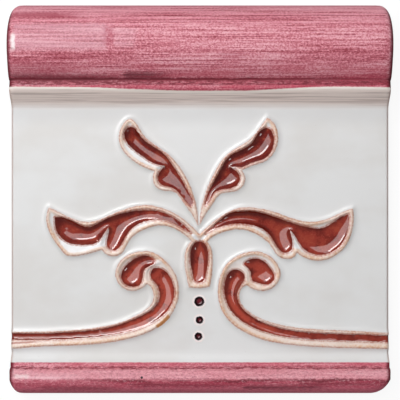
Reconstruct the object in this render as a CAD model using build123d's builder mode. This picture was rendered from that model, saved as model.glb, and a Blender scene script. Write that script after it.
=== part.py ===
"""Hand-moulded liner tile: a heavy roll over a flat field with a raised-line ornament, and a bead below.

Millimetres. The tile lies on its back: X along the course, Y up the wall, Z out of the face.
"""

import os

from build123d import *

# Whole tile
TILE_WIDTH = 150.0
TILE_HEIGHT = 156.0
FIELD_THICKNESS = 10.0
EDGE_LIP = 2.0  # straight foot of the top and bottom edges, next to the wall
END_ROUND = 1.2  # softened rim of both ends
CREASE_ROUND = 0.6  # glaze-filled inner corners
NOSING_ROUND = 1.6  # outer corner of the strip

# Roll along the top edge, and the band and ogee below it
ROLL_RISE = 14.0  # crown above the field
ROLL_REACH = 17.8  # top edge to the crown
ROLL_DEPTH = 31.3  # top edge to the crease
BAND_RISE = 7.3
BAND_WIDTH = 2.4
OGEE_WIDTH = 8.6
OGEE_FOOT_EASE = 1.0  # how far the ogee runs on level from the field
OGEE_HEAD_EASE = 0.8  # and towards the band

# Bead along the bottom edge, and the strip and small cove above it
BEAD_RISE = 6.4
BEAD_REACH = 7.1
BEAD_DEPTH = 11.3
STRIP_RISE = 2.2
STRIP_WIDTH = 2.0
FOOT_COVE_WIDTH = 4.4

# Raised-line ornament
RIM_RISE = 0.9  # raised lines above the field
POOL_DEPTH = 1.2  # glaze pools below the field
LARGE_DOT_RADIUS = 1.9
SMALL_DOT_RADIUS = 1.45
DRAWN_HALF_WIDTH = 73.8  # the outlines below are drawn for a field of this half width
DRAWN_HEIGHT = 96.0  # and this height, about its middle
POOL_END = 73.0  # the stem pools stop a little short of the ends

# Each outline is a closed chain of hand-drawn strokes that meet at its tips and notches
LEFT_PLUME_RIM = [
    [(-0.8, 2.0), (-1.4, 9.2), (-3.6, 16.8), (-7.4, 24.0), (-12.2, 29.7), (-18.0, 33.9), (-22.7, 38.1),
     (-25.3, 42.3), (-27.7, 44.1), (-30.1, 42.5), (-31.9, 38.7), (-31.7, 34.1), (-28.9, 29.7), (-23.9, 25.9),
     (-18.0, 23.4)],
    [(-18.0, 23.4), (-18.6, 20.4), (-17.4, 17.2), (-14.0, 15.7), (-10.2, 15.2), (-6.4, 10.8), (-3.2, 6.4),
     (-0.8, 2.0)],
]
RIGHT_PLUME_RIM = [
    [(-0.2, 2.0), (0.8, 9.6), (2.6, 16.0), (5.8, 22.8), (9.5, 28.7), (14.7, 32.7), (19.7, 35.9), (23.5, 40.3),
     (26.7, 44.5)],
    [(26.7, 44.5), (29.5, 42.1), (30.9, 37.5), (30.3, 32.7), (26.3, 27.7), (21.5, 25.8), (16.5, 23.6)],
    [(16.5, 23.6), (17.9, 20.2), (16.3, 16.8), (12.3, 15.2), (8.5, 14.6), (5.2, 10.8), (2.2, 6.4), (-0.2, 2.0)],
]
LEFT_LEAF_RIM = [
    [(0.8, -2.7), (-4.0, 2.2), (-10.0, 6.6), (-16.0, 9.0), (-21.9, 9.9), (-29.1, 8.5), (-36.7, 5.6), (-43.9, 3.2),
     (-51.0, 4.8), (-55.8, 7.0), (-59.8, 9.0)],
    [(-59.8, 9.0), (-60.9, 4.8), (-59.8, -0.4), (-57.0, -5.3), (-53.0, -10.0)],
    [(-53.0, -10.0), (-47.1, -9.9), (-42.7, -8.8), (-38.9, -7.7)],
    [(-38.9, -7.7), (-36.7, -9.7), (-33.9, -10.3), (-31.1, -9.1), (-29.3, -6.3), (-27.1, -2.9), (-21.9, 0.4),
     (-16.0, 2.0), (-10.4, 0.8), (-5.2, -2.5), (-2.4, -5.5)],
    [(-2.4, -5.5), (0.8, -2.7)],
]
RIGHT_LEAF_RIM = [
    [(-1.2, -2.7), (3.2, 1.6), (8.7, 5.8), (15.1, 8.7), (22.3, 8.8), (29.9, 7.1), (37.4, 4.4), (44.6, 3.3),
     (51.4, 4.8), (56.2, 7.0), (60.6, 8.6)],
    [(60.6, 8.6), (60.9, 4.4), (60.2, -0.6), (57.8, -6.1), (53.8, -9.9), (47.8, -12.0), (42.6, -11.3), (38.4, -8.7)],
    [(38.4, -8.7), (37.0, -10.8), (33.9, -11.4), (30.3, -9.5), (28.1, -6.1), (24.7, -2.9), (20.3, -0.6),
     (15.1, 0.4), (9.5, -0.6), (4.8, -2.7), (2.0, -5.5)],
    [(2.0, -5.5), (-1.2, -2.7)],
]
LEFT_SCROLL_RIM = [
    [(-DRAWN_HALF_WIDTH, -40.4), (-63.8, -40.2), (-51.8, -39.7), (-39.9, -38.5), (-29.5, -35.8), (-22.7, -32.4),
     (-19.2, -29.1), (-18.4, -25.5), (-19.4, -22.5), (-21.1, -21.3)],
    [(-21.1, -21.3), (-24.3, -23.5), (-28.3, -23.8), (-31.9, -21.5), (-33.5, -17.7), (-32.5, -13.7), (-29.3, -10.3),
     (-24.7, -8.6), (-19.2, -8.7), (-13.6, -12.3), (-9.6, -17.9), (-8.4, -24.3), (-10.0, -31.0), (-14.4, -36.6),
     (-21.5, -40.8), (-31.1, -43.6), (-43.9, -45.3), (-59.8, -45.9), (-DRAWN_HALF_WIDTH, -47.0)],
    [(-DRAWN_HALF_WIDTH, -47.0), (-DRAWN_HALF_WIDTH, -40.4)],
]
RIGHT_SCROLL_RIM = [
    [(DRAWN_HALF_WIDTH, -40.8), (63.8, -40.1), (49.8, -39.5), (37.8, -38.6), (27.1, -36.2), (19.5, -32.4),
     (16.0, -28.3), (15.9, -24.1), (18.7, -21.7)],
    [(18.7, -21.7), (21.9, -23.6), (25.9, -23.9), (29.7, -22.0), (31.8, -18.3), (30.9, -13.9), (26.9, -9.8),
     (21.5, -8.4), (15.9, -9.7), (10.5, -13.5), (7.7, -19.5), (7.3, -26.7), (9.7, -33.6), (15.1, -38.8),
     (23.5, -42.9), (33.9, -45.1), (47.8, -46.3), (61.8, -46.8), (DRAWN_HALF_WIDTH, -47.0)],
    [(DRAWN_HALF_WIDTH, -47.0), (DRAWN_HALF_WIDTH, -40.8)],
]
BUD_RIM = [
    [(-4.4, -22.6), (-5.6, -16.7), (-6.1, -11.5), (-5.2, -6.9), (-2.8, -4.1), (0.0, -3.3), (2.8, -4.5), (4.5, -7.5),
     (5.0, -12.3), (4.6, -17.9), (3.8, -22.3)],
    [(3.8, -22.3), (0.0, -22.9), (-4.4, -22.6)],
]

LEFT_PLUME_POOL = [
    [(-13.8, 25.6), (-18.4, 26.5), (-23.5, 29.7), (-27.9, 33.3), (-30.1, 37.3), (-29.3, 40.3), (-27.1, 41.1),
     (-23.5, 37.3), (-18.8, 33.5), (-14.0, 30.1), (-10.4, 25.2), (-7.2, 20.2), (-4.4, 14.8), (-2.8, 10.6), (-3.6, 9.4)],
    [(-3.6, 9.4), (-6.2, 12.0), (-9.2, 15.6), (-12.2, 17.2), (-15.6, 18.2), (-16.8, 20.8), (-15.8, 23.6),
     (-13.8, 25.6)],
]
RIGHT_PLUME_POOL = [
    [(11.5, 25.3), (13.5, 25.2), (16.2, 24.9), (20.7, 26.7), (25.9, 28.5), (29.1, 33.1), (29.1, 37.9), (27.1, 40.6),
     (23.9, 39.5), (20.9, 35.1), (15.9, 31.7), (11.1, 28.9), (8.0, 24.0), (4.4, 17.4), (2.4, 12.8), (1.8, 9.6)],
    [(1.8, 9.6), (3.8, 11.6), (5.8, 14.8), (9.5, 16.2), (13.9, 17.2), (15.9, 20.2), (14.9, 23.1), (13.2, 24.5),
     (11.5, 25.3)],
]
LEFT_LEAF_POOL = [
    [(-57.8, 5.2), (-53.0, 4.7), (-48.6, 2.7), (-44.7, 1.2), (-40.7, 2.7), (-35.1, 5.5), (-29.1, 7.2), (-22.3, 8.0),
     (-16.0, 7.5), (-10.4, 5.0), (-6.0, 1.8), (-3.6, -1.0)],
    [(-3.6, -1.0), (-8.0, 1.3), (-12.8, 3.6), (-18.4, 4.1), (-23.9, 2.7), (-28.3, -0.8), (-31.3, -5.9), (-34.3, -8.1),
     (-36.9, -6.3), (-36.7, -2.5), (-36.3, 1.0)],
    [(-36.3, 1.0), (-38.1, -1.6), (-40.9, -4.9), (-46.7, -5.9), (-52.2, -5.1), (-56.2, -1.8), (-57.7, 2.4),
     (-57.8, 5.2)],
]
RIGHT_LEAF_POOL = [
    [(2.2, -1.2), (4.0, 0.6), (6.6, 2.9), (11.5, 6.7), (16.3, 7.6), (23.1, 7.3), (30.3, 5.1), (37.4, 2.7), (43.0, 1.2),
     (47.8, 0.8), (52.6, 3.0), (56.4, 5.6), (59.2, 6.3)],
    [(59.2, 6.3), (58.8, 0.8), (56.2, -5.3), (51.8, -8.9), (46.2, -9.7), (41.4, -7.7), (38.6, -4.0), (37.2, -1.7),
     (35.8, -0.1)],
    [(35.8, -0.1), (36.2, -2.0), (36.8, -5.0), (36.1, -8.0), (33.5, -9.0), (30.7, -6.9), (27.9, -2.3), (22.7, 1.4),
     (16.7, 2.5), (10.3, 2.0), (6.0, 0.6), (3.9, -0.4), (2.2, -1.2)],
]
LEFT_CURL_POOL = [
    [(-18.0, -11.9), (-21.5, -10.0), (-26.3, -11.5), (-29.9, -14.5), (-31.4, -18.1), (-30.1, -21.2), (-26.9, -22.5),
     (-23.9, -21.7), (-22.7, -18.9), (-21.7, -15.3)],
]
RIGHT_CURL_POOL = [
    [(17.6, -12.7), (21.1, -11.2), (25.1, -12.0), (28.3, -15.4), (29.6, -18.5), (27.5, -21.4), (23.7, -21.1),
     (20.5, -19.7), (19.8, -16.1)],
]
LEFT_STEM_POOL = [
    [(-POOL_END, -40.8), (-63.8, -41.0), (-51.8, -40.4), (-39.9, -39.3), (-29.5, -36.6), (-22.3, -33.4), (-17.8, -30.2),
     (-16.0, -26.1), (-17.4, -21.5), (-19.7, -18.3), (-18.8, -15.3), (-15.2, -15.2), (-11.6, -18.9), (-10.1, -24.3),
     (-12.0, -30.6), (-17.6, -36.0), (-27.1, -40.0), (-39.9, -42.2), (-55.8, -43.3), (-POOL_END, -43.5)],
    [(-POOL_END, -43.5), (-POOL_END, -40.8)],
]
RIGHT_STEM_POOL = [
    [(POOL_END, -41.8), (59.8, -41.3), (45.4, -40.7), (31.9, -38.9), (22.3, -35.2), (16.7, -30.8), (14.8, -26.3),
     (16.3, -21.8), (17.9, -18.9), (16.3, -16.2), (12.7, -15.8), (10.3, -18.9), (9.7, -25.1), (11.9, -31.4),
     (17.5, -36.7), (26.3, -40.6), (38.2, -42.9), (53.8, -43.8), (POOL_END, -44.4)],
    [(POOL_END, -44.4), (POOL_END, -41.8)],
]
BUD_POOL = [
    [(-2.5, -19.9), (-3.6, -14.3), (-3.9, -9.3), (-2.6, -5.5), (-0.1, -4.3), (2.2, -5.7), (3.3, -9.3), (3.0, -14.5),
     (2.0, -19.7)],
    [(2.0, -19.7), (-0.2, -20.8), (-2.5, -19.9)],
]
LARGE_DOT = (-0.3, -28.3)
SMALL_DOTS = [(-0.2, -35.7), (-0.6, -42.2)]

RIMS = [
    LEFT_PLUME_RIM, RIGHT_PLUME_RIM, LEFT_LEAF_RIM, RIGHT_LEAF_RIM, LEFT_SCROLL_RIM, RIGHT_SCROLL_RIM, BUD_RIM,
]
POOLS = [
    LEFT_PLUME_POOL, RIGHT_PLUME_POOL, LEFT_LEAF_POOL, RIGHT_LEAF_POOL, LEFT_CURL_POOL, RIGHT_CURL_POOL,
    LEFT_STEM_POOL, RIGHT_STEM_POOL, BUD_POOL,
]

# Levels and lines that follow from the sizes above
HALF_WIDTH = TILE_WIDTH / 2
TOP = TILE_HEIGHT / 2
BOTTOM = -TILE_HEIGHT / 2
ROLL_CROWN = (TOP - ROLL_REACH, FIELD_THICKNESS + ROLL_RISE)
ROLL_CREASE = (TOP - ROLL_DEPTH, FIELD_THICKNESS + BAND_RISE)
BAND_EDGE = (TOP - ROLL_DEPTH - BAND_WIDTH, FIELD_THICKNESS + BAND_RISE)
FIELD_TOP = (TOP - ROLL_DEPTH - BAND_WIDTH - OGEE_WIDTH, FIELD_THICKNESS)
FIELD_BOTTOM = (BOTTOM + BEAD_DEPTH + STRIP_WIDTH + FOOT_COVE_WIDTH, FIELD_THICKNESS)
STRIP_EDGE = (BOTTOM + BEAD_DEPTH + STRIP_WIDTH, FIELD_THICKNESS + STRIP_RISE)
BEAD_CREASE = (BOTTOM + BEAD_DEPTH, FIELD_THICKNESS + STRIP_RISE)
BEAD_CROWN = (BOTTOM + BEAD_REACH, FIELD_THICKNESS + BEAD_RISE)
FIELD_MIDDLE = (FIELD_TOP[0] + FIELD_BOTTOM[0]) / 2
STRETCH_X = (HALF_WIDTH - END_ROUND) / DRAWN_HALF_WIDTH
STRETCH_Y = (FIELD_TOP[0] - FIELD_BOTTOM[0]) / DRAWN_HEIGHT


def on_field(point):
    """Place a drawn point on the field of this tile."""
    return (point[0] * STRETCH_X, FIELD_MIDDLE + point[1] * STRETCH_Y)


def chain(strokes):
    """Join drawn strokes into a closed chain; a stroke that stands alone closes smoothly on itself."""
    with BuildLine() as loop:
        for stroke in strokes:
            placed = [on_field(point) for point in stroke]
            if len(placed) == 2:
                Line(*placed)
            else:
                Spline(*placed, periodic=len(strokes) == 1)
    return loop.edges()


with BuildPart() as liner_tile:
    # Moulded section, drawn looking along the course
    with BuildSketch(Plane.YZ) as section:
        with BuildLine():
            Polyline((BOTTOM, EDGE_LIP), (BOTTOM, 0), (TOP, 0), (TOP, EDGE_LIP))
            EllipticalCenterArc(
                (ROLL_CROWN[0], EDGE_LIP), ROLL_REACH, ROLL_CROWN[1] - EDGE_LIP, start_angle=0, arc_size=90
            )
            TangentArc(ROLL_CROWN, ROLL_CREASE, tangent=(-1, 0))
            Line(ROLL_CREASE, BAND_EDGE)
            Spline(
                FIELD_TOP, BAND_EDGE, tangents=((1, 0), (1, 0)), tangent_scalars=(OGEE_FOOT_EASE, OGEE_HEAD_EASE)
            )
            Line(FIELD_TOP, FIELD_BOTTOM)
            TangentArc(FIELD_BOTTOM, STRIP_EDGE, tangent=(-1, 0))
            Line(STRIP_EDGE, BEAD_CREASE)
            TangentArc(BEAD_CROWN, BEAD_CREASE, tangent=(1, 0))
            EllipticalCenterArc(
                (BEAD_CROWN[0], EDGE_LIP), BEAD_REACH, BEAD_CROWN[1] - EDGE_LIP, start_angle=90, arc_size=90
            )
        make_face()
        for corner in (ROLL_CREASE, BEAD_CREASE):
            fillet(section.vertices().sort_by_distance(corner)[0], radius=CREASE_ROUND)
        fillet(section.vertices().sort_by_distance(STRIP_EDGE)[0], radius=NOSING_ROUND)
    extrude(amount=HALF_WIDTH, both=True)

    # Ends softened all round the face; the back stays crisp
    ends = liner_tile.faces().filter_by(Axis.X)
    fillet(ends.edges().filter_by(lambda edge: edge.center().Z > 0), radius=END_ROUND)

    # Raised lines, then the pools inside them and the three dots
    with BuildSketch(Plane.XY.offset(FIELD_THICKNESS)):
        for rim in RIMS:
            make_face(chain(rim))
    extrude(amount=RIM_RISE)
    with BuildSketch(Plane.XY.offset(FIELD_THICKNESS - POOL_DEPTH)):
        for pool in POOLS:
            make_face(chain(pool))
        with Locations(on_field(LARGE_DOT)):
            Circle(LARGE_DOT_RADIUS)
        with Locations([on_field(dot) for dot in SMALL_DOTS]):
            Circle(SMALL_DOT_RADIUS)
    extrude(amount=POOL_DEPTH + RIM_RISE, mode=Mode.SUBTRACT)

liner_tile.part.label = "liner_tile"
os.makedirs("parts", exist_ok=True)
export_step(liner_tile.part, "parts/liner_tile.step")
print("liner_tile", liner_tile.part.bounding_box(), round(liner_tile.part.volume, 1), "mm3")
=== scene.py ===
# %% [markdown]
# # A moulded liner tile with a raised-line ornament
# The tile is one pressed and fired piece of clay. A heavy roll runs along its top, a bead along its
# bottom, and between them lies a flat field with a palmette and two scrolls. The lines of the ornament
# are squeezed on as thin cords of liquid clay, and red glaze is pooled between them before the firing.
#
# The CAD model gives the true sizes. This script takes its heights and outlines from that model and
# gives them the soft shape of melted glaze.

import math

import bmesh
import bpy
import numpy as np
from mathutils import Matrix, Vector, noise
from mathutils.bvhtree import BVHTree


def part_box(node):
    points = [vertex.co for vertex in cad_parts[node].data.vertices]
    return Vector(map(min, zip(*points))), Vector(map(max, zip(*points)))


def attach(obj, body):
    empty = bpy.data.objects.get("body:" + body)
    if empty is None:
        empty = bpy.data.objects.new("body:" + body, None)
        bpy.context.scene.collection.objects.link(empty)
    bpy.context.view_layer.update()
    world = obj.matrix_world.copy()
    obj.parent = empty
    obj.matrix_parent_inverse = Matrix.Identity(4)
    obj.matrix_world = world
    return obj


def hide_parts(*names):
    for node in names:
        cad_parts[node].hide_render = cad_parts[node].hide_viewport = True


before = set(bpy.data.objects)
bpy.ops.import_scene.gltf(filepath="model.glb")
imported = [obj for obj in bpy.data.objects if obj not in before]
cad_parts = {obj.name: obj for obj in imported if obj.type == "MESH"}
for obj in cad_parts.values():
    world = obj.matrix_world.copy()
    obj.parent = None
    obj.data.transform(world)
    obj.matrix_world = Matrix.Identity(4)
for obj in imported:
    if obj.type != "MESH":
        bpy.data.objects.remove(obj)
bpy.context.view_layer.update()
MM = 0.001

# %% [markdown]
# ## Plumb lines onto the CAD tile
# A plumb line dropped on the CAD tile gives the height of its face at any place. The copy of its mesh
# is merged first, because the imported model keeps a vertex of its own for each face. The three lowest
# level faces are the floors of the pools, the field and the tops of the raised lines.

# %% Measure heights
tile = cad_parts["liner_tile"]
tile_low, tile_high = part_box("liner_tile")

cad = bmesh.new()
cad.from_mesh(tile.data)
bmesh.ops.transform(cad, matrix=tile.matrix_world, verts=cad.verts)
bmesh.ops.remove_doubles(cad, verts=cad.verts, dist=0.001 * MM)
cad.normal_update()
cad_tree = BVHTree.FromBMesh(cad)


def plumb(x, y):
    """Height of the CAD tile's face under a place, or None beside the tile."""
    hit = cad_tree.ray_cast(Vector((x, y, 1)), Vector((0, 0, -1)))[0]
    return None if hit is None else hit.z


levels = {round(face.calc_center_median().z / MM, 2) for face in cad.faces if face.normal.z > 0.9999}
POOL_FLOOR, FIELD, LINE_TOP = [level * MM for level in sorted(levels)[:3]]
for name, level in (("pool floor", POOL_FLOOR), ("field", FIELD), ("line top", LINE_TOP)):
    print(name, "in mm:", round(level / MM, 2))

# %% [markdown]
# ## Walls of the ornament
# In the CAD model every line of the ornament is an upright wall. The ground on its two sides tells what
# it is: from the field up to a line, from a pool up to a line, or from a dot up to the field. A search
# tree of each kind gives the distance from any place to the nearest edge, which later shapes the glaze
# and colours it. The blunt ends of the two tails are left out, so that the stems run off the tile as
# they do on the real one.

# %% Sort the walls
TAIL_END = 72.5 * MM
UPRIGHT = 0.01
PROBE = 0.05 * MM
SAME_LEVEL = 0.1 * MM


def walls(ground_outside, ground_inside):
    """Search tree of the upright CAD faces between two levels of ground."""
    kept = cad.copy()
    others = []
    for face in kept.faces:
        middle = face.calc_center_median()
        in_ornament = POOL_FLOOR < middle.z < LINE_TOP and abs(middle.x) < TAIL_END
        wanted = in_ornament and abs(face.normal.z) < UPRIGHT
        if wanted:
            step = PROBE * face.normal
            outside, inside = middle + step, middle - step
            wanted = abs(plumb(outside.x, outside.y) - ground_outside) < SAME_LEVEL
            wanted = wanted and abs(plumb(inside.x, inside.y) - ground_inside) < SAME_LEVEL
        if not wanted:
            others.append(face)
    bmesh.ops.delete(kept, geom=others, context="FACES")
    print("wall faces:", len(kept.faces))
    tree = BVHTree.FromBMesh(kept)
    kept.free()
    return tree


line_walls = walls(FIELD, LINE_TOP)
pool_walls = walls(POOL_FLOOR, LINE_TOP)
dot_walls = walls(POOL_FLOOR, FIELD)

# %% [markdown]
# ## The moulding's section
# A moulding is one outline drawn along a length. The outline is measured near the right end, where no
# ornament is in the way. Rows are set wherever it has turned a few degrees or has run on for a set
# length, so the tight creases get many rows and the flat field few.

# %% Find the rows of the section
FIELD_HEAD = 35.7 * MM
FIELD_FOOT = -60.3 * MM
PLAIN_END = 71 * MM
CELL = 1.6 * MM
ROW_TURN = math.radians(7)
ROW_STEP = 0.05 * MM
SLOPE_STEP = 0.04 * MM
LAST_ROW = tile_high[1] - 0.01 * MM


def smooth(value):
    """Eases from 0 to 1."""
    value = max(0.0, min(1.0, value))
    return value * value * (3 - 2 * value)


def section_height(y):
    """Height of the moulded body, without its ornament, at a place up the tile."""
    if FIELD_FOOT < y < FIELD_HEAD:
        return FIELD
    return plumb(PLAIN_END, max(-LAST_ROW, min(LAST_ROW, y)))


def section_normal(y):
    """Direction square to the section, as (up the tile, out of the face)."""
    low, high = max(-LAST_ROW, y - SLOPE_STEP), min(LAST_ROW, y + SLOPE_STEP)
    rise = section_height(high) - section_height(low)
    length = math.hypot(high - low, rise)
    return -rise / length, (high - low) / length


def section_rows():
    """Places up the tile where the section needs a row of vertices."""
    count = round((tile_high[1] - tile_low[1]) / ROW_STEP)
    places = [tile_low[1] + ROW_STEP * index for index in range(count + 1)]
    points = [(y, section_height(y)) for y in places]
    rows = [points[0][0]]
    run = turn = 0.0
    heading = None
    for before, after in zip(points, points[1:]):
        run += math.dist(before, after)
        new_heading = math.atan2(after[1] - before[1], after[0] - before[0])
        if heading is not None:
            turn += abs(new_heading - heading)
        heading = new_heading
        if run >= CELL or turn >= ROW_TURN:
            rows.append(after[0])
            run = turn = 0.0
    if rows[-1] < points[-1][0]:
        rows.append(points[-1][0])
    return rows


rows = section_rows()
print("rows in the section:", len(rows))

# %% [markdown]
# ## Draw the section along the course
# The row of points is extruded step by step from the left end to the right end, the way a moulding is
# run. The last steps at each end are short, since the ends of the tile are softly rounded.

# %% Run the moulding
END_STEPS = [0.0, 0.1 * MM, 0.3 * MM, 0.6 * MM, 1.0 * MM, 1.5 * MM, 2.2 * MM, 3.0 * MM]
inner_length = tile_high[0] - tile_low[0] - 2 * END_STEPS[-1]
inner_count = round(inner_length / CELL)
columns = [tile_low[0] + step for step in END_STEPS]
columns += [columns[-1] + inner_length * (index + 1) / inner_count for index in range(inner_count - 1)]
columns += [tile_high[0] - step for step in reversed(END_STEPS)]

work = bmesh.new()
first_row = [work.verts.new((columns[0], y, 0)) for y in rows]
front_edges = [work.edges.new(pair) for pair in zip(first_row, first_row[1:])]
for start, end in zip(columns, columns[1:]):
    made = bmesh.ops.extrude_edge_only(work, edges=front_edges)["geom"]
    new_verts = [item for item in made if isinstance(item, bmesh.types.BMVert)]
    bmesh.ops.translate(work, vec=(end - start, 0, 0), verts=new_verts)
    fresh = set(new_verts)
    front_edges = [
        item for item in made
        if isinstance(item, bmesh.types.BMEdge) and item.verts[0] in fresh and item.verts[1] in fresh
    ]
print("faces of the plain moulding:", len(work.faces))

# %% [markdown]
# ## Distances to the ornament
# Every place on the face gets three numbers: how far it lies inside a raised line, a pool and a dot, in
# millimetres and negative outside. They tell where the mesh has to be fine, how high the glaze stands
# and, later, which colour it has.

# %% Measure the distances
FAR = 9.0
MID_LINE = 0.5 * (FIELD + LINE_TOP)
MID_POOL = 0.5 * (POOL_FLOOR + LINE_TOP)
MID_DOT = 0.5 * (POOL_FLOOR + FIELD)


def distance_to(tree, x, y, z):
    """Distance in millimetres to the nearest wall of a tree, or FAR."""
    found = tree.find_nearest(Vector((x, y, z)), FAR * MM)[3]
    return FAR if found is None else found / MM


def ornament_distances(x, y):
    """Signed distances in millimetres to the nearest outer line, pool edge and dot edge, positive inside."""
    x = max(-TAIL_END, min(TAIL_END, x))
    if not FIELD_FOOT < y < FIELD_HEAD:
        return -FAR, -FAR, -FAR
    line = distance_to(line_walls, x, y, MID_LINE)
    pool = distance_to(pool_walls, x, y, MID_POOL)
    dot = distance_to(dot_walls, x, y, MID_DOT)
    ground = plumb(x, y)
    in_line = ground > MID_LINE
    in_dip = ground < MID_DOT
    in_pool = in_dip and pool < dot
    in_dot = in_dip and dot < pool
    return (
        line if in_line or in_pool else -line,
        pool if in_pool else -pool,
        dot if in_dot else -dot,
    )


# %% [markdown]
# ## Finer cells along the lines
# The raised lines are only two millimetres wide. Cells near a line are split twice, and the rest of
# the field keeps its large cells.

# %% Split the cells near the ornament
SPLIT_REACH = (-3.2, -2.3)

for reach in SPLIT_REACH:
    near = []
    for edge in work.edges:
        middle = 0.5 * (edge.verts[0].co + edge.verts[1].co)
        line, pool, dot = ornament_distances(middle.x, middle.y)
        if max(line, pool, dot) > reach:
            near.append(edge)
    bmesh.ops.subdivide_edges(work, edges=near, cuts=1, use_grid_fill=True)
    print("faces after splitting:", len(work.faces))

# %% [markdown]
# ## Raised lines
# In the kiln the glaze climbs the raised lines and thins over their tops, so no corner stays sharp. On
# the outside it runs out over the field in a long soft foot. On the inside it drops to the edge of the
# red pool, which lies higher on the lower right walls because the wet glaze had run that way. The lines
# were squeezed on by hand, so their height wanders a little.

# %% Shape of a raised line
UPPER_LEFT = Vector((-0.707, 0.707, 0))
# lengths in millimetres; the crest is a multiple of the CAD line's height
CREST = 1.32
CREST_WIDTH = 0.8
LINE_FOOT = 1.1
FOOT_CURVE = 1.25
SHOULDER_LEAST, SHOULDER_MOST = 0.6, 5.0
WIDE_SHOULDER = 0.9
POOL_EDGE = 0.45
POOL_EDGE_LEAN = 0.40
DOT_PIT = 1.0
DOT_LIP = 0.16
DOT_SLOPE = 0.8


def wander(x, y, size, seed):
    """Slow noise between about -1 and 1. size is the length of one swell in millimetres."""
    return noise.noise(Vector((x / MM / size, y / MM / size, seed)))


def pool_edge(x, y):
    """Height of the nearest pool's edge above the field, in millimetres."""
    wall_normal = pool_walls.find_nearest(Vector((x, y, MID_POOL)))[1]
    ripple = 0.12 * wander(x, y, 4, 3.0) + 0.07 * wander(x, y, 1.3, 4.0)
    return POOL_EDGE + POOL_EDGE_LEAN * wall_normal.dot(UPPER_LEFT) + ripple


def glaze_height(x, y, line, pool, dot):
    """Height of the glazed ornament above the body, in millimetres."""
    height = DOT_LIP * smooth(1 - abs(dot) / DOT_SLOPE) - DOT_PIT * smooth(dot / DOT_SLOPE)
    if line == -FAR:
        return height
    crest = CREST + 0.20 * wander(x, y, 7, 1.0) + 0.10 * wander(x, y, 1.6, 5.0)
    crest *= (LINE_TOP - FIELD) / MM
    foot = max(0.0, 0.5 - line)
    height += crest * math.exp(-((foot / LINE_FOOT) ** FOOT_CURVE))
    shoulder = max(SHOULDER_LEAST, min(SHOULDER_MOST, line - pool - CREST_WIDTH))
    if pool > -shoulder:
        inward = min(1.0, (pool + shoulder) / shoulder)
        wide = smooth((shoulder - WIDE_SHOULDER) / WIDE_SHOULDER)
        drop = (1 - wide) * inward ** 2 + wide * (1 - (1 - inward) ** 1.8)
        height += (pool_edge(x, y) - crest) * drop
    return height


# %% [markdown]
# ## Lift the face
# Each vertex is set to the height of the moulding plus that of the glazed ornament. The three distances
# stay on the vertices as attributes for the colours. Three more attributes are made here and filled
# later: the way down the sides, the lean and the steepness.

# %% Lift the lines
line_mm = work.verts.layers.float.new("line_mm")
pool_mm = work.verts.layers.float.new("pool_mm")
dot_mm = work.verts.layers.float.new("dot_mm")
below_mm = work.verts.layers.float.new("below_mm")
lean = work.verts.layers.float.new("lean")
steep = work.verts.layers.float.new("steep")
for vert in work.verts:
    x, y = vert.co.x, vert.co.y
    line, pool, dot = ornament_distances(x, y)
    vert[line_mm], vert[pool_mm], vert[dot_mm] = line, pool, dot
    vert.co.z = section_height(y) + glaze_height(x, y, line, pool, dot) * MM
print("highest of the face in mm:", round(max(vert.co.z for vert in work.verts) / MM, 2))

# %% [markdown]
# ## One pool after another
# Wet vertices that hang together by edges form one pool. Its glaze is pulled down more strongly at the
# upper left than at the lower right, because it had run to the lower right and lies thicker there.

# %% Find the pools
POOL_PULL = 2.0
POOL_RUN = 0.12
LONGEST_RUN = 10.0
POOL_SWELL = 0.4

work.verts.index_update()
heights = np.array([vert.co.z / MM for vert in work.verts])
wet = np.array([vert[pool_mm] > 0 for vert in work.verts])
pulled = np.zeros(len(heights))
reached = set()
pool_count = 0
for first in work.verts:
    if not wet[first.index] or first.index in reached:
        continue
    pool_count += 1
    reached.add(first.index)
    group = [first]
    for vert in group:
        for edge in vert.link_edges:
            other = edge.other_vert(vert)
            if wet[other.index] and other.index not in reached:
                reached.add(other.index)
                group.append(other)
    middle = sum((vert.co for vert in group), Vector()) / len(group)
    for vert in group:
        run = -(vert.co - middle).dot(UPPER_LEFT) / MM
        run = max(-LONGEST_RUN, min(LONGEST_RUN, run))
        swell = POOL_SWELL * wander(vert.co.x, vert.co.y, 6, 2.0)
        pulled[vert.index] = FIELD / MM - POOL_PULL + POOL_RUN * run + swell
print("pools:", pool_count)

# %% [markdown]
# ## Let the glaze settle
# A pool of melted glass settles like a heavy film that hangs from its edges. Every vertex inside a pool
# takes the mean height of its neighbours, with a small pull downwards, over and over until hardly
# anything moves. Wide pools sink deep and narrow ones stay shallow.

# %% Settle the pools
POOL_REACH = 2.2
DEEPEST = 8.4
SETTLE_ROUNDS = 600
FINE_CELL = 0.25 * CELL / MM

pairs = np.array([[vert.index for vert in edge.verts] for edge in work.edges])
pairs = pairs[wet[pairs].any(axis=1)]
ends = np.concatenate([pairs, pairs[:, ::-1]])
neighbours = np.maximum(np.bincount(ends[:, 0], minlength=len(heights)), 1)
share = FINE_CELL ** 2 / (4 * POOL_REACH ** 2)
for _ in range(SETTLE_ROUNDS):
    total = np.bincount(ends[:, 0], weights=heights[ends[:, 1]], minlength=len(heights))
    settled = (total / neighbours + share * pulled) / (1 + share)
    heights[wet] = np.maximum(settled, DEEPEST)[wet]
for vert in work.verts:
    vert.co.z = heights[vert.index] * MM
print("lowest of the pools in mm:", round(float(heights[wet].min()), 2))

# %% [markdown]
# ## Softened ends
# The ends of the wet tile are wiped with a sponge. The field keeps a narrow round edge and the thick
# roll gets a wider one. Each vertex near an end sinks square to the section, as it would under a
# round-edged cutter. In the creases it only sinks straight down, because vertices moved sideways there
# would run past each other and fold the end wall. The two bottom corners were worn rounder in plan,
# the right one most.

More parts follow.
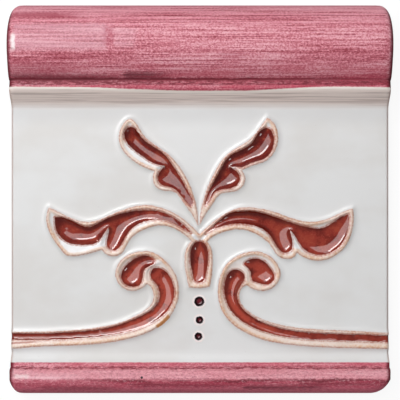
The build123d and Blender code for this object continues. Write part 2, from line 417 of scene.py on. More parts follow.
# %% Round the ends
FIELD_END_ROUND = 1.2
ROLL_END_ROUND = 3.8
BEAD_END_ROUND = 2.6
STRIP_END_ROUND = 0.5
LEFT_CORNER = 4.0
RIGHT_CORNER = 7.0
CORNER_TOP = -70.5
CORNER_LENGTH = 7.5
# each pair is where a change starts and where it is complete, in millimetres up the tile
TO_ROLL, TO_STRIP, TO_BEAD = (38, 48), (-61, -64), (-66, -70)
ROLL_FREE, BEAD_FREE = (49, 56), (-70.8, -72.3)


def past(y, start, full):
    """Eases from 0 to 1 between two places up the tile."""
    return smooth((y / MM - start) / (full - start))


def round_off(reach, radius):
    """How far a round corner has sunk at a reach beyond the start of its curve."""
    return radius - math.sqrt(max(0.0, radius * radius - reach * reach))


for vert in work.verts:
    x, y = vert.co.x, vert.co.y
    radius = FIELD_END_ROUND
    radius += (ROLL_END_ROUND - FIELD_END_ROUND) * past(y, *TO_ROLL)
    radius += (STRIP_END_ROUND - FIELD_END_ROUND) * past(y, *TO_STRIP)
    radius += (BEAD_END_ROUND - STRIP_END_ROUND) * past(y, *TO_BEAD)
    reach = abs(x) - tile_high[0] + radius * MM
    if reach > 0:
        sunk = round_off(reach, radius * MM)
        up, out = section_normal(y)
        free = past(y, *ROLL_FREE) + past(y, *BEAD_FREE)
        vert.co.y -= free * up * sunk
        vert.co.z -= out * sunk
    corner = (LEFT_CORNER if x < 0 else RIGHT_CORNER) * MM
    reach = abs(x) - tile_high[0] + corner
    if reach > 0:
        share = max(0.0, (CORNER_TOP - vert.co.y / MM) / CORNER_LENGTH)
        vert.co.y += round_off(reach, corner) * share
print("end rounding in mm, field and roll:", FIELD_END_ROUND, ROLL_END_ROUND)

# %% [markdown]
# ## Sides and back
# The edge of the face is drawn down in rings to the flat back, with a small chamfer where the clay was
# trimmed. Each ring notes how far below the glazed face it lies, because the glaze stops a little way
# down the sides and the clay stays bare below it.

# %% Close the body
# each ring's share of the way down and its scale in plan
SIDE_RINGS = [(0.2, 1.0), (0.5, 1.0), (0.95, 1.0), (1.0, 0.995)]

rim_edges = [edge for edge in work.edges if edge.is_boundary]
for share, inset in SIDE_RINGS:
    made = bmesh.ops.extrude_edge_only(work, edges=rim_edges)["geom"]
    ring = [item for item in made if isinstance(item, bmesh.types.BMVert)]
    rim_edges = [item for item in made if isinstance(item, bmesh.types.BMEdge) and item.is_boundary]
    for vert in ring:
        top = vert.co.z + vert[below_mm] * MM
        vert[below_mm] = share * top / MM
        vert[line_mm] = vert[pool_mm] = vert[dot_mm] = -FAR
        vert.co = (vert.co.x * inset, vert.co.y * inset, top * (1 - share))
bmesh.ops.holes_fill(work, edges=rim_edges, sides=0)
bmesh.ops.recalc_face_normals(work, faces=work.faces)
work.normal_update()
print("open edges:", sum(not edge.is_manifold for edge in work.edges))

# %% [markdown]
# ## The finished piece
# Every vertex notes how steep it is and how far it leans to the lower right, for the shading of the red
# glaze. All faces are shaded smooth, and only the trimmed edges near the back stay sharp. The piece
# rides on the tile's body and takes the place of the CAD tile.

# %% Make the piece
TRIMMED_BELOW = 1.3 * MM
SHARP_ANGLE = math.radians(25)

for vert in work.verts:
    vert[lean] = -vert.normal.dot(UPPER_LEFT)
    vert[steep] = math.hypot(vert.normal.x, vert.normal.y)

for face in work.faces:
    face.smooth = True
for edge in work.edges:
    trimmed = max(vert.co.z for vert in edge.verts) < TRIMMED_BELOW
    if trimmed and edge.calc_face_angle(0) > SHARP_ANGLE:
        edge.smooth = False

tile_mesh = bpy.data.meshes.new("glazed_tile")
work.to_mesh(tile_mesh)
print("triangles:", sum(len(face.verts) - 2 for face in work.faces))
work.free()
cad.free()

glazed_tile = bpy.data.objects.new("glazed_tile", tile_mesh)
bpy.context.scene.collection.objects.link(glazed_tile)
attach(glazed_tile, "root")
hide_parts("liner_tile")

# %% [markdown]
# ## Small helpers for the shader
# A shader is a chain of small nodes. These helpers add one node, fill or join its inputs, and hand back
# its output, so that the finish below reads like a recipe. Colours are written as they look on a
# screen, from 0 to 255, and turned into the linear values that the renderer works with.

# %% Shader helpers


def colour(red, green, blue):
    """A screen colour as linear values."""
    linear = []
    for part in (red, green, blue):
        value = part / 255
        linear.append(value / 12.92 if value <= 0.04045 else ((value + 0.055) / 1.055) ** 2.4)
    return (*linear, 1.0)


def node(tree, kind, inputs=None, **options):
    """Adds a node, sets its options and fills or joins its inputs."""
    made = tree.nodes.new(kind)
    for name, value in options.items():
        setattr(made, name, value)
    for name, value in (inputs or {}).items():
        if isinstance(value, bpy.types.NodeSocket):
            tree.links.new(value, made.inputs[name])
        else:
            made.inputs[name].default_value = value
    return made


def calc(tree, operation, first, second=0.0):
    """One step of arithmetic."""
    return node(tree, "ShaderNodeMath", {0: first, 1: second}, operation=operation).outputs[0]


def times(tree, first, second):
    """The product of two numbers."""
    return calc(tree, "MULTIPLY", first, second)


def plus(tree, first, second):
    """The sum of two numbers."""
    return calc(tree, "ADD", first, second)


def blend(tree, factor, first, second):
    """A colour between two colours."""
    return node(tree, "ShaderNodeMix", {0: factor, 6: first, 7: second}, data_type="RGBA").outputs[2]


def between(tree, factor, first, second):
    """A number between two numbers."""
    return node(tree, "ShaderNodeMix", {0: factor, 2: first, 3: second}, data_type="FLOAT").outputs[0]


# %% [markdown]
# ## Helpers for masks
# A mask is a number from 0 to 1 that tells where a coat lies. A mask with a soft edge is an eased step,
# and a soft stripe is a band. Noise that swings around zero moves such an edge about, and a colour is
# laid on a ground wherever its mask lets it.

# %% Mask helpers


def ease(tree, value, start, end):
    """0 before start, 1 after end and a soft step between them."""
    inputs = {"Value": value, "From Min": start, "From Max": end}
    return node(tree, "ShaderNodeMapRange", inputs, interpolation_type="SMOOTHSTEP").outputs[0]


def band(tree, value, middle, edge, core):
    """A soft stripe: 1 within core of its middle and 0 beyond edge."""
    off = calc(tree, "ABSOLUTE", calc(tree, "SUBTRACT", value, middle))
    return ease(tree, off, edge, core)


def cloud(tree, place, stretch, detail=2.0, roughness=0.5):
    """Noise from 0 to 1 with its cells stretched along the axes. stretch is cells per millimetre."""
    scaled = node(tree, "ShaderNodeVectorMath", {0: place, 1: stretch}, operation="MULTIPLY").outputs[0]
    inputs = {"Vector": scaled, "Scale": 1.0, "Detail": detail, "Roughness": roughness}
    return node(tree, "ShaderNodeTexNoise", inputs).outputs[0]


def swing(tree, place, stretch, detail, roughness=0.5):
    """Noise around zero."""
    return calc(tree, "SUBTRACT", cloud(tree, place, stretch, detail, roughness), 0.5)


def shift(tree, value, offset, amount):
    """A number moved by an offset times an amount."""
    return plus(tree, value, times(tree, offset, amount))


def lay(tree, ground, mask, tint, amount=1.0):
    """Mixes a screen colour into a ground where a mask lets it."""
    return blend(tree, times(tree, mask, amount), ground, colour(*tint))


# %% [markdown]
# ## The white glaze
# The field is covered with an off-white glaze that has melted flat. It is never quite even: thin
# clouds of warmer and cooler white drift through it, and here and there a speck of iron shows. The
# effect is kept in a node group, so that the recipe can be used on another tile.

# %% White glaze group


def glaze_group(name, numbers_in=(), numbers_out=()):
    """An empty node group that takes a place and numbers and gives a colour and numbers."""
    group = bpy.data.node_groups.new(name, "ShaderNodeTree")
    group.interface.new_socket("Place", in_out="INPUT", socket_type="NodeSocketVector")
    for number in numbers_in:
        group.interface.new_socket(number, in_out="INPUT", socket_type="NodeSocketFloat")
    group.interface.new_socket("Color", in_out="OUTPUT", socket_type="NodeSocketColor")
    for number in numbers_out:
        group.interface.new_socket(number, in_out="OUTPUT", socket_type="NodeSocketFloat")
    return group


tree = white_glaze = glaze_group("white_glaze", numbers_out=["Wave"])
place = node(tree, "NodeGroupInput").outputs["Place"]
drift = cloud(tree, place, (0.035, 0.05, 0.05), 3.0)
tone = blend(tree, ease(tree, drift, 0.35, 0.65), colour(222, 220, 218), colour(229, 229, 229))
speck = ease(tree, cloud(tree, place, (0.9, 0.9, 0.9), 1.0), 0.80, 0.84)
tone = lay(tree, tone, speck, (150, 130, 115), 0.35)
wave = cloud(tree, place, (0.08, 0.08, 0.08), 2.0)
node(tree, "NodeGroupOutput", {"Color": tone, "Wave": wave})

# %% [markdown]
# ## The brushed pink glaze
# The roll and the bead are brushed over with a pink glaze. The brush runs along the tile, so its
# streaks are long and thin. Where the brush was loaded the coat is dark, and where it dragged the white
# shows through.

# %% Pink glaze group
tree = pink_glaze = glaze_group("pink_glaze", numbers_out=["Streak"])
place = node(tree, "NodeGroupInput").outputs["Place"]
broad = swing(tree, place, (0.015, 0.12, 0.12), 3.0)
streak = cloud(tree, place, (0.02, 0.9, 0.9), 4.0, 0.6)
fine_streak = calc(tree, "SUBTRACT", streak, 0.5)
hair = swing(tree, place, (0.06, 2.2, 2.2), 3.0, 0.6)
grain = swing(tree, place, (1.2, 1.5, 1.5), 2.0, 0.8)
coat = 0.5
for layer, amount in ((broad, 0.5), (fine_streak, 1.0), (hair, 0.9), (grain, 1.3)):
    coat = shift(tree, coat, layer, amount)
tone = blend(tree, ease(tree, coat, 0.05, 0.60), colour(144, 20, 48), colour(210, 114, 131))
tone = lay(tree, tone, ease(tree, coat, 0.40, 0.95), (242, 188, 197))
node(tree, "NodeGroupOutput", {"Color": tone, "Streak": streak})

# %% [markdown]
# ## The pooled red glaze
# Red glaze is flooded between the raised lines. It is a coloured glass, so it shows a thin brown edge
# where it climbs the line and brick red over the gentle floor. The steep walls are darker, partly from
# the thick glass and partly from painted shade, and the walls that lean away from the light get painted
# shade most of all. The red is darker at the top of the tile than on the stems.

# %% Red glaze group
tree = red_glaze = glaze_group("red_glaze", numbers_in=["Depth", "Lean", "Steep"])
entry = node(tree, "NodeGroupInput")
place, depth = entry.outputs["Place"], entry.outputs["Depth"]
flow = cloud(tree, place, (0.22, 0.22, 0.22), 4.0, 0.6)
dust = cloud(tree, place, (1.6, 1.6, 1.6), 2.0, 0.7)
height_up = node(tree, "ShaderNodeSeparateXYZ", {0: place}).outputs["Y"]
# darker towards the top of the tile
darker_up = ease(tree, height_up, -52.0, 12.0)
tone = blend(tree, darker_up, colour(178, 70, 54), colour(124, 32, 25))
tone = lay(tree, tone, ease(tree, flow, 0.47, 0.72), (172, 74, 52), 0.70)
tone = lay(tree, tone, ease(tree, flow, 0.50, 0.32), (96, 18, 14), 0.70)
tone = lay(tree, tone, ease(tree, dust, 0.50, 0.72), (188, 92, 70), 0.35)
# painted shade on the walls that lean away from the light and on the steep walls
far_wall_shade = times(tree, ease(tree, entry.outputs["Lean"], 0.04, 0.36), 0.68)
steep_wall_shade = times(tree, ease(tree, entry.outputs["Steep"], 0.34, 0.62), 0.50)
tone = lay(tree, tone, calc(tree, "MAXIMUM", far_wall_shade, steep_wall_shade), (72, 9, 8))
tone = lay(tree, tone, ease(tree, depth, 0.35, 0.0), (146, 70, 50))
node(tree, "NodeGroupOutput", {"Color": tone})
print("glaze recipes:", [group.name for group in (white_glaze, pink_glaze, red_glaze)])

# %% [markdown]
# ## One fired finish
# All the glazes melt together in one firing, so one material holds them. It works in millimetres along
# and up the tile. Two kinds of noise are shared by all the masks: a slow one for lines drawn by hand,
# and a fine one for ragged edges.

# %% Start the finish
fired = bpy.data.materials.new("fired_glaze")
fired.use_nodes = True
tree = fired.node_tree
tree.nodes.clear()

object_place = node(tree, "ShaderNodeTexCoord").outputs["Object"]
in_mm = {0: object_place, "Scale": 1 / MM}
place = node(tree, "ShaderNodeVectorMath", in_mm, operation="SCALE").outputs[0]
parts = node(tree, "ShaderNodeSeparateXYZ", {0: place})
along, up = parts.outputs["X"], parts.outputs["Y"]
off_centre = calc(tree, "ABSOLUTE", along)

white = node(tree, "ShaderNodeGroup", {"Place": place}, node_tree=white_glaze)
pink = node(tree, "ShaderNodeGroup", {"Place": place}, node_tree=pink_glaze)
streak = pink.outputs["Streak"]
waver = swing(tree, place, (0.02, 0.0, 0.0), 2.0)
jitter = swing(tree, place, (0.7, 0.7, 0.7), 3.0)

# %% [markdown]
# ## Where the pink lies
# The pink covers everything above a line on the band below the roll, and everything below a line at the
# bead. The upper line sags towards the middle of the tile.

# %% Edges of the pink
sag = times(tree, ease(tree, along, -58.0, 0.0), ease(tree, along, 50.0, 16.0))
head_place = shift(tree, shift(tree, up, sag, 1.5), waver, 1.2)
head_paint = ease(tree, shift(tree, head_place, jitter, 0.4), 43.75, 44.15)
foot_paint = ease(tree, shift(tree, up, jitter, 0.25), -64.3, -64.7)
paint = calc(tree, "MAXIMUM", head_paint, foot_paint)

# %% [markdown]
# ## Shades of the white
# The white runs together in the hollow below the roll, where it is warm with thin streaks, and painted
# light makes it paler there to lift the shade of the hollow. Just below the hollow painted shade makes it a
# little greyer. Along the sharp ends it is thin and the clay shows through.

# %% White coat
hollow = ease(tree, up, 35.0, 39.5)
shade_below_hollow = ease(tree, up, 27.0, 34.5)
runs = ease(tree, cloud(tree, place, (0.025, 1.5, 0.8), 3.0, 0.6), 0.46, 0.62)
sharp_end = ease(tree, off_centre, 73.9, 74.8)
# painted shade just below the hollow
white_tone = lay(tree, white.outputs["Color"], shade_below_hollow, (206, 206, 207), 0.6)
# painted light in the hollow, warm in tint
white_tone = lay(tree, white_tone, hollow, (255, 238, 230), 0.95)
white_tone = lay(tree, white_tone, times(tree, hollow, runs), (190, 168, 162), 0.6)
white_tone = lay(tree, white_tone, sharp_end, (190, 156, 146), 0.7)

# %% [markdown]
# ## Pink on the roll's foot
# Wet glaze runs down the roll and gathers at its foot. It leaves dark blots there, a dark thread in the
# crease and a row of dark dashes on the band below. The dark foot and the dark thread are partly this
# glaze and partly painted shade, where the roll turns down into the crease.

# %% Foot of the roll
blots = cloud(tree, place, (0.05, 0.35, 0.35), 3.0, 0.6)
dashes = cloud(tree, place, (0.35, 1.5, 0.0), 3.0, 0.7)
wobble = swing(tree, place, (0.12, 0.0, 0.0), 3.0, 0.6)

# partly gathered glaze, partly painted shade on the roll's downward flank
roll_foot_run_and_shade = ease(tree, shift(tree, up, jitter, 4.0), 55.0, 46.0)
roll_foot_run_and_shade = times(tree, roll_foot_run_and_shade, between(tree, ease(tree, blots, 0.40, 0.62), 0.20, 0.58))
pink_tone = lay(tree, pink.outputs["Color"], roll_foot_run_and_shade, (196, 44, 76))

ragged = shift(tree, shift(tree, up, wobble, 1.6), jitter, 0.9)
# dark thread in the crease: partly pooled glaze, partly painted shade
crease = band(tree, ragged, 46.8, 0.75, 0.20)
crease = times(tree, crease, between(tree, ease(tree, along, 70.0, 10.0), 0.55, 0.95))
pink_tone = lay(tree, pink_tone, crease, (126, 18, 40))

dash_row = times(tree, ease(tree, up, 44.2, 44.9), ease(tree, up, 46.6, 46.2))
dash_row = times(tree, dash_row, between(tree, ease(tree, dashes, 0.40, 0.58), 0.35, 1.0))
pink_tone = lay(tree, pink_tone, dash_row, (122, 8, 38))

# %% [markdown]
# ## Pink on the bead
# A painted highlight makes the bead pale along its crown. A broken dark line marks the crease above it,
# and the brush dragged a darker coat along its lower half, deepened by painted shade where the bead
# turns down. At the very bottom painted light makes the pink bright again against the shade of the
# under side. Fine grit in the glaze shows as dark and pale grains.

# %% Bead
# painted highlight along the bead's crown
crown_highlight = times(tree, ease(tree, up, -64.6, -67.6), ease(tree, up, -71.5, -69.8))
pink_tone = lay(tree, pink_tone, crown_highlight, (255, 204, 212), 0.35)
jagged = shift(tree, shift(tree, up, wobble, 0.7), jitter, 1.6)
foot_crease = times(tree, band(tree, jagged, -66.5, 0.65, 0.15), ease(tree, dashes, 0.36, 0.54))
pink_tone = lay(tree, pink_tone, foot_crease, (130, 8, 40), 0.95)

# darker low run: partly glaze that ran down, partly painted shade
low_run_and_shade = ease(tree, shift(tree, up, jitter, 2.0), -70.0, -71.6)
pink_tone = lay(tree, pink_tone, low_run_and_shade, (190, 56, 84), 0.42)
dragged = shift(tree, shift(tree, up, wobble, 3.0), jitter, 1.6)
dark_drag = times(tree, band(tree, dragged, -71.0, 1.0, 0.2), ease(tree, blots, 0.36, 0.56))
dark_drag = times(tree, dark_drag, ease(tree, along, -60.0, -25.0))
pink_tone = lay(tree, pink_tone, dark_drag, (110, 8, 34), 0.85)
# painted light that lifts the shade on the bead's under side
pink_tone = lay(tree, pink_tone, ease(tree, up, -72.0, -75.5), (255, 128, 152), 0.95)

on_bead = ease(tree, up, -64.0, -66.0)
grit = cloud(tree, place, (0.8, 1.6, 1.6), 2.0, 0.8)
dark_grit = times(tree, ease(tree, grit, 0.50, 0.30), on_bead)
pale_grit = times(tree, ease(tree, grit, 0.52, 0.72), on_bead)
pink_tone = lay(tree, pink_tone, dark_grit, (140, 22, 50), 0.45)
pink_tone = lay(tree, pink_tone, pale_grit, (250, 190, 202), 0.45)

# %% [markdown]
# ## Marks of the brush and painted highlights
# The brush left marks of its own: dark starts at the left, dark strokes in the crease and along the bead.
# The list also holds painted light: a pale veil on the roll, a painted reflection of the softbox cut by a
# darker band, a pale bar at the left end of the roll and of the bead as painted highlights, and a pale
# streak running on from the bead's bar as painted reflection. Every mark is a soft box that the streaks
# of the brush break up.

# %% List the brush marks
STREAKY = 0.55
SOLID = 0.10
BRUSH_MARKS_AND_HIGHLIGHTS = [
    # left, right, low and high edge and fade of the right end in mm, share lost to streaks, strength, colour
    # painted reflection of the softbox on the roll: a pale veil, cut by a darker band
    (-72.0, -36.0, 57.5, 68.0, 0.7, STREAKY, 0.50, (222, 172, 184)),
    (-37.0, -33.2, 59.5, 67.0, 0.7, STREAKY, 0.45, (176, 70, 94)),
    (-33.0, -25.0, 58.5, 66.0, 1.5, STREAKY, 0.35, (226, 176, 188)),
    # marks of the brush on the roll and in its crease
    (-74.0, -48.0, 70.0, 73.0, 8.0, STREAKY, 0.80, (160, 40, 66)),
    (-74.0, -48.0, 47.0, 53.0, 8.0, STREAKY, 0.40, (156, 44, 68)),
    (8.0, 18.0, 54.0, 57.0, 3.0, STREAKY, 0.30, (170, 66, 88)),
    (-29.0, -14.0, 46.6, 49.4, 6.0, STREAKY, 0.85, (104, 8, 32)),
    (-74.0, -30.0, 46.0, 48.4, 10.0, STREAKY, 0.65, (104, 8, 32)),
    # painted highlight: the pale bar at the left end of the roll
    (-72.9, -71.2, 57.6, 63.4, 0.4, SOLID, 0.90, (255, 246, 246)),
    # marks of the brush along the bead
    (-28.0, 14.0, -73.4, -72.2, 5.0, STREAKY, 0.85, (112, 8, 36)),
    (18.0, 48.0, -74.4, -73.0, 5.0, STREAKY, 0.90, (104, 6, 34)),
    (40.0, 70.0, -72.8, -71.8, 5.0, STREAKY, 0.75, (120, 10, 38)),
    (-62.0, -34.0, -74.8, -73.6, 5.0, STREAKY, 0.70, (130, 14, 42)),
    # painted highlight at the left end of the bead, then a painted reflection running on from it
    (-73.0, -67.0, -69.9, -69.1, 0.6, SOLID, 0.95, (255, 240, 240)),
    (-67.0, -48.0, -70.2, -68.6, 6.0, STREAKY, 0.50, (246, 206, 214)),
]

# %% [markdown]
# ## Set the marks down
# The far slope of the roll first gets painted light, which lifts its shade, and the marks come on top of
# that. At the two ends of the tile the pink is thick and dark, and painted shade on the rounded ends
# darkens it further.

# %% Lay the brush marks
START_SOFT = 0.8
SIDE_SOFT = 1.0
MOST_RAGGED = 3.0


def streaked_box(left, right, low, high, fade, lost):
    """Mask of one mark from the list between four edges in millimetres, ragged, soft and streaked; the list
    holds brush marks and painted highlights.
    """
    uneven = shift(tree, along, calc(tree, "SUBTRACT", streak, 0.5), 3.0 * fade)
    across = shift(tree, uneven, jitter, min(MOST_RAGGED, 2.0 * fade))
    height = shift(tree, up, jitter, 2.0)
    start = ease(tree, across, left - START_SOFT, left + START_SOFT)
    finish = ease(tree, across, right + fade, right - fade)
    foot = ease(tree, height, low - SIDE_SOFT, low + SIDE_SOFT)
    head = ease(tree, height, high + SIDE_SOFT, high - SIDE_SOFT)
    box = times(tree, times(tree, start, finish), times(tree, foot, head))
    return times(tree, box, between(tree, ease(tree, streak, 0.38, 0.58), 1.0 - lost, 1.0))


# painted light on the roll's far slope
painted_far_slope_light = ease(tree, shift(tree, up, jitter, 8.0), 64.0, 74.0)
painted_far_slope_light = times(tree, painted_far_slope_light, ease(tree, streak, 0.36, 0.58))
pink_tone = lay(tree, pink_tone, painted_far_slope_light, (244, 166, 180), 0.60)
for left, right, low, high, fade, lost, amount, tint in BRUSH_MARKS_AND_HIGHLIGHTS:
    mark = streaked_box(left, right, low, high, fade, lost)
    pink_tone = lay(tree, pink_tone, mark, tint, amount)
# dark ends: thick glaze and painted shade on the rounded ends
dark_ends_glaze_and_shade = ease(tree, plus(tree, off_centre, jitter), 73.0, 74.4)
pink_tone = lay(tree, pink_tone, dark_ends_glaze_and_shade, (108, 10, 34), 0.95)
print("brush marks:", len(BRUSH_MARKS_AND_HIGHLIGHTS))

# %% [markdown]
# ## White and pink together
# The pink coat is laid over the white one. A pale thread just below its upper edge is a painted highlight
# on the rounded edge of the band, and one dark speck of iron sits on the bead.

# %% Join white and pink
IRON_SPECK = (-22.8, -69.8, 16.3)


def away_from(spot):
    """Distance in millimetres from a spot."""
    inputs = {0: place, 1: spot}
    return node(tree, "ShaderNodeVectorMath", inputs, operation="DISTANCE").outputs["Value"]


tone = blend(tree, paint, white_tone, pink_tone)
unpainted = calc(tree, "SUBTRACT", 1.0, paint)
# painted highlight along the rounded edge below the pink
highlight_edge = times(tree, band(tree, head_place, 43.4, 0.7, 0.2), unpainted)
tone = lay(tree, tone, highlight_edge, (255, 244, 236), 0.95)
tone = lay(tree, tone, ease(tree, away_from(IRON_SPECK), 0.60, 0.40), (48, 8, 18))

# %% [markdown]
# ## Colours of the raised lines
# The glaze is thin on the raised lines, so the clay shows through in speckles, more in one place than in
# another. A darker thread follows both edges of a line. Where a line is wide, its inner slope is white.
# The masks use the distances that were kept on the vertices.

# %% Raised lines


def attribute(name):
    """A number kept on the vertices."""
    return node(tree, "ShaderNodeAttribute", attribute_name=name).outputs["Fac"]


edge_jitter = times(tree, swing(tree, place, (0.9, 0.9, 0.9), 3.0), 0.6)
line = plus(tree, attribute("line_mm"), edge_jitter)
pool = plus(tree, attribute("pool_mm"), edge_jitter)
dot = plus(tree, attribute("dot_mm"), edge_jitter)

thin_coat = ease(tree, cloud(tree, place, (0.07, 0.07, 0.07), 3.0), 0.36, 0.56)
speckle = ease(tree, cloud(tree, place, (1.2, 1.2, 1.2), 2.0, 0.7), 0.38, 0.60)
tone = lay(tree, tone, ease(tree, line, -0.4, 0.2), (242, 231, 224))
ridge = times(tree, ease(tree, line, -0.1, 0.3), between(tree, thin_coat, 0.45, 0.95))
ridge = times(tree, ridge, between(tree, speckle, 0.50, 1.0))
near_pool = ease(tree, pool, -1.3, -0.3)
ridge_tone = blend(tree, near_pool, colour(224, 178, 144), colour(206, 146, 126))
tone = blend(tree, ridge, tone, ridge_tone)

line_width = calc(tree, "SUBTRACT", attribute("line_mm"), attribute("pool_mm"))
inner_slope = times(tree, ease(tree, line, 0.9, 1.8), ease(tree, line_width, 2.2, 3.1))
high_up = ease(tree, up, -32.0, -20.0)
slope_tone = blend(tree, high_up, colour(236, 216, 205), colour(238, 237, 238))
tone = blend(tree, inner_slope, tone, slope_tone)

outer_thread = times(tree, band(tree, line, 0.15, 0.45, 0.05), 0.75)
inner_thread = band(tree, pool, -0.30, 0.40, 0.05)
thread = calc(tree, "MAXIMUM", outer_thread, inner_thread)
thread = times(tree, thread, between(tree, speckle, 0.40, 0.85))
tone = lay(tree, tone, thread, (178, 104, 84))

# %% [markdown]
# ## A bare patch and a tail
# On the left scroll one patch of a line has lost its glaze, and at the left end a thin brown line runs
# on along the stem.

# %% Patch and tail
BARE_PATCH = (-14.8, -48.3, 11.0)
TAIL_SLOPE = -0.06

patch = ease(tree, plus(tree, away_from(BARE_PATCH), jitter), 3.6, 3.0)
patch = times(tree, patch, ease(tree, line, -0.5, -0.2))
patch = times(tree, patch, ease(tree, line, 1.2, 0.9))
tone = lay(tree, tone, patch, (196, 132, 78))

tail_place = plus(tree, shift(tree, up, along, TAIL_SLOPE), edge_jitter)
tail = times(tree, band(tree, tail_place, -52.6, 0.60, 0.20), ease(tree, along, -60.0, -68.0))
tone = lay(tree, tone, tail, (172, 84, 62), 0.8)

# %% [markdown]
# ## Fill the pools and the dots
# The red recipe fills the pools and is darker on the outer stems. The dots are nearly black pits with a
# pale ring round them, partly thin white glaze on the lip and partly a painted highlight.

# %% Pools and dots
red = ease(tree, pool, -0.12, 0.12)
pooled = {"Place": place, "Depth": pool, "Lean": attribute("lean"), "Steep": attribute("steep")}
red_mix = node(tree, "ShaderNodeGroup", pooled, node_tree=red_glaze)
stem_run = times(tree, ease(tree, off_centre, 22.0, 46.0), ease(tree, up, -44.0, -49.0))
red_tone = lay(tree, red_mix.outputs["Color"], stem_run, (126, 40, 30), 0.65)
tone = blend(tree, red, tone, red_tone)

# pale ring: thin glaze on the lip and a painted highlight
ring_and_highlight = band(tree, dot, -0.55, 0.5, 0.1)
tone = lay(tree, tone, ring_and_highlight, (250, 234, 232), 0.8)
spot = ease(tree, dot, -0.22, 0.02)
spot_tone = blend(tree, ease(tree, dot, 0.4, 1.3), colour(34, 2, 8), colour(104, 20, 32))
tone = blend(tree, spot, tone, spot_tone)

# %% [markdown]
# ## Bare clay, gloss and relief
# The glaze ends a little way down the sides, and the clay below it is bare. The red glass is the
# smoothest coat and the clay the roughest. A faint relief comes from the streaks of the brush, slow waves
# in the white and the grain of the clay.

# %% Gloss and relief
ROUGHNESS = {
    "white": 0.60, "beside lines": 0.28, "pink": 0.70, "pink rim": 1.0, "dot": 0.15, "red": 0.04, "clay": 0.9,
}
STREAK_RELIEF = 0.06
WAVE_RELIEF = 0.12
CLAY_RELIEF = 0.25
GLASS_IOR = 1.65

bare = ease(tree, shift(tree, attribute("below_mm"), jitter, 3.0), 0.9, 1.5)
clay_grain = cloud(tree, place, (1.2, 1.2, 1.2), 4.0, 0.7)
clay_tone = blend(tree, clay_grain, colour(196, 164, 130), colour(222, 196, 166))
tone = blend(tree, bare, tone, clay_tone)

end_rim = ease(tree, off_centre, 73.2, 74.2)
long_rim = ease(tree, calc(tree, "ABSOLUTE", up), 73.0, 76.0)
rim = calc(tree, "MAXIMUM", end_rim, long_rim)
near_line = ease(tree, line, -3.0, -1.2)
white_rough = between(tree, near_line, ROUGHNESS["white"], ROUGHNESS["beside lines"])
pink_rough = between(tree, rim, ROUGHNESS["pink"], ROUGHNESS["pink rim"])
rough = between(tree, paint, white_rough, pink_rough)
rough = between(tree, spot, rough, ROUGHNESS["dot"])
rough = between(tree, red, rough, ROUGHNESS["red"])
rough = between(tree, bare, rough, ROUGHNESS["clay"])

height = times(tree, times(tree, paint, streak), STREAK_RELIEF)
height = shift(tree, height, white.outputs["Wave"], WAVE_RELIEF)
height = shift(tree, height, times(tree, bare, clay_grain), CLAY_RELIEF)
relief = {"Strength": 1.0, "Distance": MM, "Height": height}
bump = node(tree, "ShaderNodeBump", relief).outputs["Normal"]

skin = node(tree, "ShaderNodeBsdfPrincipled", {"Base Color": tone, "Roughness": rough, "Normal": bump})
skin.inputs["IOR"].default_value = GLASS_IOR
node(tree, "ShaderNodeOutputMaterial", {"Surface": skin.outputs[0]})
tile_mesh.materials.append(fired)
print("nodes in the fired glaze:", len(tree.nodes))

# %% [markdown]
# ## Floor
# The tile lies on a plain white floor. The floor glows an even white for the camera, and less for the
# reflections in the glaze. Only part of the real light is added to that, so the shadow stays and the
# background still reads as white.

# %% Floor
FLOOR_SIZE = 3.0
FLOOR_GAP = 0.05 * MM
FLOOR_GLOW = 0.90
MIRRORED_SHARE = 0.45

floor_mesh = bpy.data.meshes.new("floor")
sheet = bmesh.new()
bmesh.ops.create_grid(sheet, x_segments=1, y_segments=1, size=FLOOR_SIZE)
bmesh.ops.translate(sheet, vec=(0, 0, -FLOOR_GAP), verts=sheet.verts)
sheet.to_mesh(floor_mesh)
sheet.free()
floor = bpy.data.objects.new("floor", floor_mesh)
bpy.context.scene.collection.objects.link(floor)

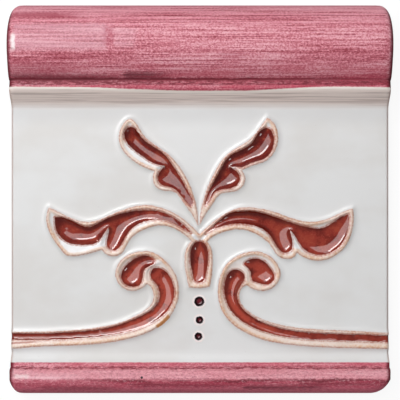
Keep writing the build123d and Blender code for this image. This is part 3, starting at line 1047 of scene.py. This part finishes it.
paper = bpy.data.materials.new("white_floor")
paper.use_nodes = True
tree = paper.node_tree
tree.nodes.clear()
seen = node(tree, "ShaderNodeLightPath")
directly = shift(tree, seen.outputs["Is Camera Ray"], seen.outputs["Is Glossy Ray"], MIRRORED_SHARE)
matte = node(tree, "ShaderNodeBsdfDiffuse", {"Color": colour(100, 100, 100)}).outputs[0]
strength = times(tree, directly, FLOOR_GLOW)
glow = node(tree, "ShaderNodeEmission", {"Color": (1, 1, 1, 1), "Strength": strength})
both = node(tree, "ShaderNodeAddShader", {0: matte, 1: glow.outputs[0]}).outputs[0]
node(tree, "ShaderNodeOutputMaterial", {"Surface": both})
floor_mesh.materials.append(paper)

# %% [markdown]
# ## Light
# One large softbox stands above the upper left corner of the tile. Its mirror image in the glass is
# the pale patch on the lower right wall of every pool, and a narrow brighter tube below it draws the
# white core of those patches. A small lamp across from them adds glints on the far walls, and the
# world adds an even, weak light all round.

# %% Lamps and world


def lamp(name, place, width, depth, power):
    """A rectangular lamp that faces the middle of the tile."""
    light = bpy.data.lights.new(name, "AREA")
    light.shape = "RECTANGLE"
    light.size, light.size_y = width, depth
    light.energy = power
    made = bpy.data.objects.new(name, light)
    made.location = place
    made.rotation_euler = (-Vector(place)).to_track_quat("-Z", "Y").to_euler()
    bpy.context.scene.collection.objects.link(made)
    print(name, "radiance:", round(power / (width * depth * math.pi), 2))


ROOM_LIGHT = 0.16

lamp("softbox", (-0.222, 0.2465, 0.728), 0.95, 0.56, 4.3)
lamp("bright_tube", (-0.277, 0.360, 0.600), 0.45, 0.11, 1.72)
lamp("glint", (0.36, -0.30, 0.45), 0.09, 0.09, 0.18)

world = bpy.data.worlds.new("studio")
world.use_nodes = True
tree = world.node_tree
tree.nodes.clear()
room = node(tree, "ShaderNodeBackground", {"Color": (1, 1, 1, 1), "Strength": ROOM_LIGHT})
node(tree, "ShaderNodeOutputWorld", {"Surface": room.outputs[0]})
bpy.context.scene.world = world

# %% [markdown]
# ## Camera
# The photograph was taken straight down on the tile from about forty centimetres. The lens is chosen so
# that the picture spans a little more than the tile at the height of the field.

# %% Camera
CAMERA_ABOVE_FIELD = 0.432
PICTURE_SPAN = 158.9 * MM
PICTURE_CENTRE = -0.3 * MM
SENSOR = 36.0

lens = bpy.data.cameras.new("camera")
lens.sensor_width = SENSOR
lens.lens = SENSOR * CAMERA_ABOVE_FIELD / PICTURE_SPAN
camera = bpy.data.objects.new("camera", lens)
camera.location = (0, PICTURE_CENTRE, FIELD + CAMERA_ABOVE_FIELD)
bpy.context.scene.collection.objects.link(camera)
bpy.context.scene.camera = camera
bpy.context.scene.view_settings.view_transform = "Standard"
